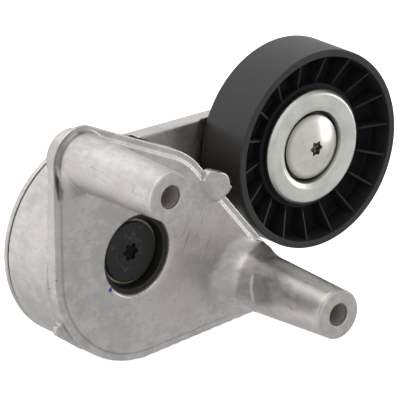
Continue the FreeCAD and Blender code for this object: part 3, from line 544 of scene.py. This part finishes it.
seatShape = {"upper": 8.9, "lower": 9.2, "edge": 0.6, "mouth": 0.5, "depth": 1.6, "wall": 0.35, "tuck": 0.16}
rootShape = {"tip": 9.2, "root": 10.9, "throat": 36.2, "flare": 2.6, "reach": 13.0, "dent": 0.8,
             "crease": 36.2, "lean": 0.3, "leanFrom": 1.5, "lip": 0.45, "fade": 23.0, "middle": 170, "half": 24,
             "soft": 10, "fillHalf": 60, "workHalf": 75}


def upperCone(depth):  # the upper standoff's radius near its root
    return np.full_like(depth, 10.4)


def lowerCone(depth):  # the lower standoff's radius at a depth
    r = rootShape
    sweep = (r["reach"] ** 2 + r["flare"] ** 2) / (2 * r["flare"])
    past = np.clip(depth - r["throat"], 0, r["reach"])
    cone = r["tip"] + (r["root"] - r["tip"]) * np.clip(depth / r["throat"], 0, 1)
    return cone + sweep - np.sqrt(sweep ** 2 - past ** 2)


def moved(places, centre, out, wanted):  # every place goes in or out from the line along Y through centre
    share = wanted / np.maximum(out, 1e-6)
    places[:, 0] = centre.x + (places[:, 0] - centre.x) * share
    places[:, 2] = centre.z + (places[:, 2] - centre.z) * share


def sideAngle(places, centre, middle):  # how far round from a direction in degrees, 0 to 180
    angle = np.degrees(np.arctan2(places[:, 2] - centre.z, places[:, 0] - centre.x))
    return np.abs((angle - middle + 180) % 360 - 180)


def dentRoot(places):
    # the side of the lower standoff's root: a crease with a shallow hollow that runs out towards the tip
    r = rootShape
    depth = places[:, 1] / mm
    out = radiusFrom(places, lowerBore) / mm
    cone = lowerCone(depth)
    side = sideAngle(places, lowerBore, r["middle"])
    here = (out > r["tip"] - 1.2) & (out < cone + 1) & (side < r["workHalf"])
    here = here & (depth > 3) & (depth < r["throat"] + 8)
    crease = r["crease"] + r["lean"] * ((places[:, 2] - lowerBore.z) / mm - r["leanFrom"])
    rise = np.clip((depth - r["fade"]) / (crease - r["fade"]), 0, 1) ** 1.5
    rise *= np.clip((crease + r["lip"] - depth) / r["lip"], 0, 1)
    window = np.clip((r["half"] + r["soft"] - side) / (2 * r["soft"]), 0, 1)
    window = window * window * (3 - 2 * window)
    filled = np.where(side < r["fillHalf"], np.maximum(out, cone - 0.02), out)
    moved(places, lowerBore, out, np.where(here, filled - r["dent"] * rise * window, out))


plateFront = 49.2
blendShapes = (  # centre, radius at a depth, middle of the side and half its width in degrees, widest fillet
    (upperBore, upperCone, 238, 62, 7.0),
    (lowerBore, lowerCone, 160, 95, 7.0),
)


def blendRoot(places, centre, radiusAt, middle, half, widest):
    # one side of a standoff runs into the plate with a wide fillet
    depth = places[:, 1] / mm
    out = radiusFrom(places, centre) / mm
    side = sideAngle(places, centre, middle)
    size = widest * np.cos(np.radians(90 * np.clip(side / half, 0, 1))) + 1e-3
    away = size - (out - radiusAt(depth))
    above = size - (plateFront - depth)
    reach = np.hypot(away, above)
    corner = (away > 0) & (above > 0) & (away < size + 0.5) & (above < size + 0.5) & (reach > size)
    pull = np.where(corner, size / np.maximum(reach, 1e-6), 1.0)
    newDepth = np.where(corner, plateFront - size + above * pull, depth)
    moved(places, centre, out, np.where(corner, radiusAt(newDepth) + size - away * pull, out))
    places[:, 1] = newDepth * mm


def makeHousing():
    nodes = ("base_housing", "upper_standoff", "lower_standoff")
    shape = castingMesh("castHousing", nodes)
    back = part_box("base_housing")[1].y
    tuck = seatShape["tuck"] * mm

    def hold(places):  # the fitted drum edge keeps its shape
        return np.clip((places[:, 1] - back + 1.0 * mm) / mm, 0, 1)

    places = softened(shape, hold)
    shape = rippled(shape, places, 1 - hold(places))
    places = placesOf(shape)
    for bore, tip in ((upperBore, seatShape["upper"]), (lowerBore, seatShape["lower"])):
        out = radiusFrom(places, bore)
        outward = np.stack([places[:, 0] - bore.x, places[:, 2] - bore.z], 1) / np.maximum(out, 1e-9)[:, None]
        inBore = out < boreRadius + 0.4 * mm  # the bore and the seat get turned faces of their own
        wanted = np.where(inBore, np.maximum(out, boreRadius + tuck), out)
        nearTip = (places[:, 1] < seatShape["depth"] * mm) & (out < (tip + 1) * mm)
        wanted = np.where(nearTip & (out > (tip - 1) * mm), wanted - tuck, wanted)
        places[:, 0] = bore.x + outward[:, 0] * wanted
        places[:, 2] = bore.z + outward[:, 1] * wanted
        fade = np.clip(1 - places[:, 1] / (seatShape["depth"] * mm), 0, 1)
        places[:, 1] += np.where(nearTip, tuck * 1.6 * fade, 0)
    dentRoot(places)
    for blend in blendShapes:
        blendRoot(places, *blend)
    store(shape, places)
    housing = addPiece("castHousing", shape, castAluminium("castAluminium", 0.0, housingMarksAndShade))
    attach(housing, "base")
    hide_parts(*nodes)


def makeSeats():
    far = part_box("upper_standoff")[1].y / mm
    bore = boreRadius / mm
    for name, centre, tip in (("upperSeat", upperBore, seatShape["upper"]),
                              ("lowerSeat", lowerBore, seatShape["lower"])):
        form = bmesh.new()
        edge = seatShape["edge"]
        mouth = seatShape["mouth"]
        turnedRing(form, [
            (bore, mouth, 0.08), (bore + mouth, 0.0, 0.10), (tip - edge, 0.0, 0.15), (tip, edge, 0.2),
            (tip + 0.03, seatShape["depth"], 0), (tip - 0.8, seatShape["depth"], 0),
            (tip - 1.5, 1.0, 0), (bore + seatShape["wall"], 1.0, 0),
            (bore + seatShape["wall"], far - 0.05, 0), (bore, far - 0.05, 0),
        ], centre)
        seat = finishedForm(name, form, machinedSeat(name + "Metal", centre), "base")


def makeArm():
    shape = castingMesh("castArm", ("tensioner_arm",))
    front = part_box("tensioner_arm")[0].y
    places = softened(shape, lambda places: np.zeros(len(places)))
    shape = rippled(shape, places, np.where(places[:, 1] < front, 0.0, 1.0))
    arm = addPiece("castArm", shape, castAluminium("armAluminium", 21.0))
    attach(arm, "arm")
    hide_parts("tensioner_arm")


makeHousing()
makeSeats()
makeArm()
print("castings ready")


# idler pulley

def makeWheel():
    w = wheelShape
    low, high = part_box("pulley_body")
    front, back = low.y / mm, high.y / mm
    outer = (high.x - low.x) / 2 / mm
    inner = outer - w["rimWall"]
    form = bmesh.new()
    turnedRing(form, [
        (outer, front, 0.55), (outer, back, 0.55), (inner, back, 0.3),
        (inner - 0.5, front + w["webBack"], 1.2), (w["hubRadius"], front + w["webBack"], 1.2),
        (w["hubRadius"] - 0.4, front + w["hubBack"], 0.5), (w["boreRadius"], front + w["hubBack"], 0),
        (w["boreRadius"], front + w["hubFront"], 0), (w["hubRadius"] - 0.4, front + w["hubFront"], 0.5),
        (w["hubRadius"], front + w["webFront"], 1.2), (inner - 0.5, front + w["webFront"], 1.2),
        (inner, front, 0.35),
    ], hub, 240)
    sides = [
        (front + w["rimStep"], front + w["hubStep"], front + w["webFront"] + 0.4),
        (back - w["rimStep"], back - w["rimStep"] * 2.6, front + w["webBack"] - 0.4),
    ]
    for rib in range(w["ribs"]):
        angle = math.radians(w["firstRib"] + 360 / w["ribs"] * rib)
        along = Vector((math.cos(angle), 0, math.sin(angle)))
        across = Vector((-math.sin(angle), 0, math.cos(angle)))
        for rimEdge, hubEdge, root in sides:
            corners = []
            for radius, depth, width in (
                    (w["hubRadius"] - 0.6, hubEdge, w["ribTop"]), (inner + 0.2, rimEdge, w["ribTop"]),
                    (inner + 0.2, root, w["ribRoot"]), (w["hubRadius"] - 0.6, root, w["ribRoot"])):
                middle = Vector((hub.x, 0, hub.z)) / mm + along * radius + Vector((0, depth, 0))
                corners.append([form.verts.new((middle + across * width / 2 * side) * mm) for side in (-1, 1)])
            left = [pair[0] for pair in corners]
            right = [pair[1] for pair in corners]
            form.faces.new(left)
            form.faces.new(right[::-1])
            for index in range(4):
                step = (index + 1) % 4
                form.faces.new((left[step], left[index], right[index], right[step]))
            top = [form.edges.get((left[0], left[1])), form.edges.get((right[0], right[1]))]
            bmesh.ops.bevel(form, geom=top, offset=0.16 * mm, segments=2, affect="EDGES")
    wheel = finishedForm("pulleyWheel", form, plain["nylon"], "pulley")
    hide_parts("pulley_body")


shieldShape = {"thread": 5.1, "sheet": 0.8, "skirt": 2.4, "skirtWall": 0.75}


def makeShield():
    low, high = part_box("dust_shield_front")
    front, back = low.y / mm, high.y / mm
    outer = (high.x - low.x) / 2 / mm
    head = (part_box("pulley_bolt")[1].x - hub.x) / mm
    thread, sheet, skirt = shieldShape["thread"], shieldShape["sheet"], shieldShape["skirt"]
    inside = outer - shieldShape["skirtWall"]
    form = bmesh.new()
    turnedRing(form, [
        (thread, back - sheet, 0), (head + 0.6, back - sheet, 0.35), (head + 1.7, front + 0.9, 0.5),
        (head + 3.4, front, 2.2), (outer - 1.3, front, 1.5), (outer, front + 1.5, 1.0),
        (outer, front + skirt, 0.3), (inside, front + skirt, 0.3), (inside, front + 1.8, 0.4),
        (outer - 1.8, front + sheet, 0.6), (head + 3.6, front + sheet, 1.2), (head + 2.2, front + 1.4, 0.4),
        (head + 1.2, back, 0.3), (thread, back, 0),
    ], hub, 200)
    shield = finishedForm("dustShield", form, plain["zinc"], "arm")
    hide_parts("dust_shield_front")


def lobedRadius(angle, outer, inner):  # the six soft lobes of a star drive
    return (outer + inner) / 2 + (outer - inner) / 2 * math.cos(6 * angle)


headShape = {"lobe": 0.72, "flank": 0.16, "domeSteps": 24, "rimSteps": 6}


def screwHead(form, centre, front, crown, rise, rim, base, drive, depth, ring=0.0, around=192):
    # a domed or flat head with a star drive sunk in it; sizes in mm
    dome = (crown ** 2 + rise ** 2) / (2 * rise) if rise else 0
    flank, domeSteps, rimSteps = headShape["flank"], headShape["domeSteps"], headShape["rimSteps"]
    loops = []

    def star(angle):
        return lobedRadius(angle, drive, drive * headShape["lobe"])

    def loop(radiusAt, depthAt):
        loops.append([])
        for turn in range(around):
            angle = 2 * math.pi * turn / around
            radius = radiusAt(angle)
            loops[-1].append(form.verts.new((
                centre.x + radius * mm * math.cos(angle), depthAt(radius) * mm,
                centre.z + radius * mm * math.sin(angle))))

    def surface(radius):
        drop = dome - math.sqrt(dome ** 2 - radius ** 2) if rise else 0.0
        bead = ring * math.exp(-((radius - drive * 1.75) / 0.5) ** 2)
        return front + drop + bead

    loop(lambda angle: 0.05, lambda radius: front + depth + 0.5)
    loop(lambda angle: star(angle) * 0.9, lambda radius: front + depth)
    loop(lambda angle: star(angle) * 0.98, lambda radius: front + depth - 0.2)
    loop(star, lambda radius: surface(radius) + 0.25)
    loop(lambda angle: star(angle) + flank, surface)
    for share in range(1, domeSteps + 1):
        reach = share / domeSteps
        loop(lambda angle: (1 - reach) * (star(angle) + flank) + reach * crown, surface)
    side = rim - crown
    for turn in range(1, rimSteps + 1):
        bend = math.pi / 2 * turn / rimSteps
        loop(lambda angle: crown + side * math.sin(bend),
             lambda radius: front + rise + side * (1 - math.cos(bend)))
    loop(lambda angle: rim, lambda radius: base)
    loop(lambda angle: rim * 0.5, lambda radius: base)
    for inner, outer in zip(loops, loops[1:]):
        for turn in range(around):
            step = (turn + 1) % around
            form.faces.new((inner[turn], inner[step], outer[step], outer[turn]))
    form.faces.new(loops[0][::-1])
    form.faces.new(loops[-1])


def makeScrews():
    low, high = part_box("pulley_bolt")
    form = bmesh.new()
    head = (high.x - low.x) / 2 / mm
    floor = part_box("dust_shield_front")[1].y / mm - shieldShape["sheet"]
    screwHead(form, hub, low.y / mm, boltShape["crown"], boltShape["rise"], head, floor,
              boltShape["drive"], boltShape["depth"])
    turnedRing(form, [
        (0, floor - 0.4, 0), (4.95, floor - 0.4, 0), (4.95, high.y / mm - 0.8, 0.5),
        (0, high.y / mm - 0.8, 0),
    ], hub, 96)
    bolt = finishedForm("pulleyScrew", form, plain["boltZinc"], "arm")
    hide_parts("pulley_bolt")

    low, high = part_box("pivot_bolt")
    form = bmesh.new()
    head = (high.x - low.x) / 2 / mm
    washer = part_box("retaining_washer")[0].y / mm
    screwHead(form, pivot, low.y / mm, head - capShape["edge"], 0.0, head, washer,
              capShape["drive"], capShape["depth"], 0.25)
    turnedRing(form, [
        (0, washer - 0.4, 0), (3.95, washer - 0.4, 0), (3.95, high.y / mm, 0.5), (0, high.y / mm, 0),
    ], pivot, 96)
    cap = finishedForm("pivotScrew", form, plain["black"], "arm")
    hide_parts("pivot_bolt")


makeWheel()
makeShield()
makeScrews()
print("pulley ready")


# the remaining solids keep their shape and get their finish

finishes = {
    "bright": ("pivot_shaft", "bearing_sleeve", "bearing_inner_ring", "bearing_outer_ring", "pulley_insert",
               "bearing_balls"),
    "bush": ("seal_ring", "front_bush", "pivot_bush", "thrust_washer", "spring_seat", "spring_guide",
             "friction_shoe"),
    "seal": ("bearing_seal_front", "bearing_seal_rear"),
    "spring": ("torsion_spring",),
    "yellow": ("retaining_washer",),
    "zinc": ("dust_shield_rear",),
    "cage": ("bearing_cage",),
}
for finish, nodes in finishes.items():
    for node in nodes:
        solid = frame["nodes"][node]
        solid.data.materials.clear()
        solid.data.materials.append(plain[finish])


# floor, light and camera

stageLook = {"floor": 4.0, "glow": 0.8}
skyLook = {  # levels run from the direction opposite to bright up to bright itself
    "bright": (-0.50, 0.62, 0.60),
    "levels": [(0.0, 0.53), (1.0, 1.0), (0.46, 0.58), (0.56, 0.62), (0.68, 0.82), (0.76, 0.98)],
    "strength": 1.0,
}
softboxes = {  # place from the middle of the part, width, height, power
    "topBox": ((-0.25, 0.1, 0.9), 1.1, 0.9, 1.6),
    "rightBox": ((0.95, -0.43, 0.03), 0.34, 0.5, 1.25),
}


def makeFloor():
    s = Shader("paleFloor")
    tone = s.mixed(s.step(s.grain(3, 3), 0.3, 0.7), (0.93, 0.93, 0.93), (0.95, 0.95, 0.95))
    material = s.finish(colour=tone, rough=0.9, glow=tone, glowPower=stageLook["glow"])
    form = bmesh.new()
    bmesh.ops.create_circle(form, cap_ends=True, segments=96, radius=stageLook["floor"])
    mesh = bpy.data.meshes.new("floor")
    form.to_mesh(mesh)
    form.free()
    floor = addPiece("floor", mesh, material)
    floor.location.z = cadLow.z - 0.3 * mm
    floor.visible_diffuse = False  # the object is lit by the boxes and the sky, not by the bright floor
    floor.visible_glossy = False
    floor.visible_shadow = False


def addSoftbox(name, place, aim, width, height, power):
    lamp = bpy.data.lights.new(name, "AREA")
    lamp.shape = "RECTANGLE"
    lamp.size = width
    lamp.size_y = height
    lamp.energy = power
    box = bpy.data.objects.new(name, lamp)
    bpy.context.scene.collection.objects.link(box)
    box.location = place
    box.rotation_mode = "QUATERNION"
    box.rotation_quaternion = (Vector(aim) - Vector(place)).to_track_quat("-Z", "Y")


def makeSky():
    world = bpy.data.worlds.new("studio")
    bpy.context.scene.world = world
    world.use_nodes = True
    tree = world.node_tree
    tree.nodes.clear()
    place = tree.nodes.new("ShaderNodeTexCoord")
    lean = tree.nodes.new("ShaderNodeVectorMath")
    lean.operation = "DOT_PRODUCT"
    lean.inputs[1].default_value = Vector(skyLook["bright"]).normalized()
    tree.links.new(place.outputs["Generated"], lean.inputs[0])
    spread = tree.nodes.new("ShaderNodeMapRange")
    spread.inputs["From Min"].default_value = -1
    tree.links.new(lean.outputs["Value"], spread.inputs["Value"])
    ramp = tree.nodes.new("ShaderNodeValToRGB")
    for index, (position, level) in enumerate(skyLook["levels"]):
        stop = ramp.color_ramp.elements[index] if index < 2 else ramp.color_ramp.elements.new(position)
        stop.position = position
        stop.color = (level, level, level, 1)
    tree.links.new(spread.outputs[0], ramp.inputs[0])
    seen = tree.nodes.new("ShaderNodeLightPath")
    lit = tree.nodes.new("ShaderNodeBackground")
    lit.inputs["Strength"].default_value = skyLook["strength"]
    tree.links.new(ramp.outputs[0], lit.inputs["Color"])
    white = tree.nodes.new("ShaderNodeBackground")
    white.inputs["Color"].default_value = (1, 1, 1, 1)
    pick = tree.nodes.new("ShaderNodeMixShader")
    tree.links.new(seen.outputs["Is Camera Ray"], pick.inputs[0])
    tree.links.new(lit.outputs[0], pick.inputs[1])
    tree.links.new(white.outputs[0], pick.inputs[2])
    out = tree.nodes.new("ShaderNodeOutputWorld")
    tree.links.new(pick.outputs[0], out.inputs["Surface"])


def makeLight():
    makeSky()
    middle = (cadLow + cadHigh) / 2
    for name, (place, width, height, power) in softboxes.items():
        addSoftbox(name, middle + Vector(place), middle, width, height, power)


cameraLook = {  # angles in degrees, lengths in mm except distance in m
    "lens": 405, "sensor": 36, "azimuth": 40.071, "elevation": 20.516, "distance": 1.548032,
    "aim": (7.356, -6.536, -0.712),
}


def makeCamera():
    # the camera stands to the left of the seats and above them, far back with a long lens
    camera = bpy.data.cameras.new("camera")
    camera.lens = cameraLook["lens"]
    camera.sensor_width = cameraLook["sensor"]
    camera.clip_end = 20
    holder = bpy.data.objects.new("camera", camera)
    bpy.context.scene.collection.objects.link(holder)
    azimuth, elevation = math.radians(cameraLook["azimuth"]), math.radians(cameraLook["elevation"])
    away = Vector((-math.sin(azimuth) * math.cos(elevation), -math.cos(azimuth) * math.cos(elevation),
                   math.sin(elevation)))
    holder.location = Vector(cameraLook["aim"]) * mm + away * cameraLook["distance"]
    holder.rotation_mode = "QUATERNION"
    holder.rotation_quaternion = (-away).to_track_quat("-Z", "Y")
    bpy.context.scene.camera = holder


makeFloor()
makeLight()
makeCamera()
bpy.context.scene.view_settings.view_transform = "Standard"
print("scene ready")
